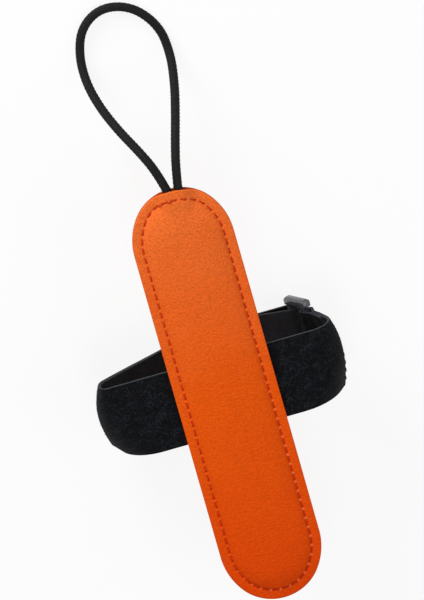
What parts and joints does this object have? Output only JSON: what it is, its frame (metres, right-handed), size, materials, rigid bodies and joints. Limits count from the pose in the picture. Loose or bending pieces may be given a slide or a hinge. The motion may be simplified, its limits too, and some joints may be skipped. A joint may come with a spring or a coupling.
{
  "type": "strap-on padded strip with cord loop",
  "caption": "Long padded leather strip with rounded ends, an elastic cord loop at one end and a hook-and-loop strap ring with a rectangular buckle behind its middle.",
  "frame": {"origin": "on the plane that the strap ring rests on, straight below the middle of the strip", "axes": "+Z out of the strip's padded face, +Y along the strip to the cord loop, +X across it to the buckle"},
  "size_m": [0.1253, 0.3096, 0.0556],
  "materials": {
    "orange_leather": "fine-grained soft sheen",
    "pad_foam": "closed-cell foam",
    "stiffener": "smooth board",
    "orange_thread": "twisted sewing thread",
    "elastic_cord": "braided sheath",
    "loop_tape": "brushed pile outside, plain knit inside",
    "hook_tape": "fine moulded hooks",
    "black_thread": "twisted sewing thread",
    "buckle_plastic": "moulded, polished"
  },
  "bodies": {
    "strip": {"front_panel": "orange_leather", "back_panel": "orange_leather", "foam_pad": "pad_foam", "stiffener_board": "stiffener", "front_seam_thread": "orange_thread", "back_seam_thread": "orange_thread", "cord_tack_thread": "orange_thread", "cord_ends": "elastic_cord", "cord_loop": "elastic_cord", "strap_band": "loop_tape", "strap_box_thread": "black_thread", "hem_thread": "black_thread"},
    "tail": {"strap_tail": "loop_tape", "hook_patch": "hook_tape", "hook_patch_thread": "black_thread"},
    "buckle": {"buckle": "buckle_plastic"}
  },
  "joints": [
    {"name": "tail_peel", "type": "hinge", "parent": "strip", "child": "tail", "pos_m": [0.033, 0, 0], "axis": [0, -1, 0], "range_deg": [0, 150]},
    {"name": "buckle_rock", "type": "hinge", "parent": "strip", "child": "buckle", "pos_m": [0.04922, 0, 0.0154], "axis": [0, 1, 0], "range_deg": [-5, 5]}
  ]
}
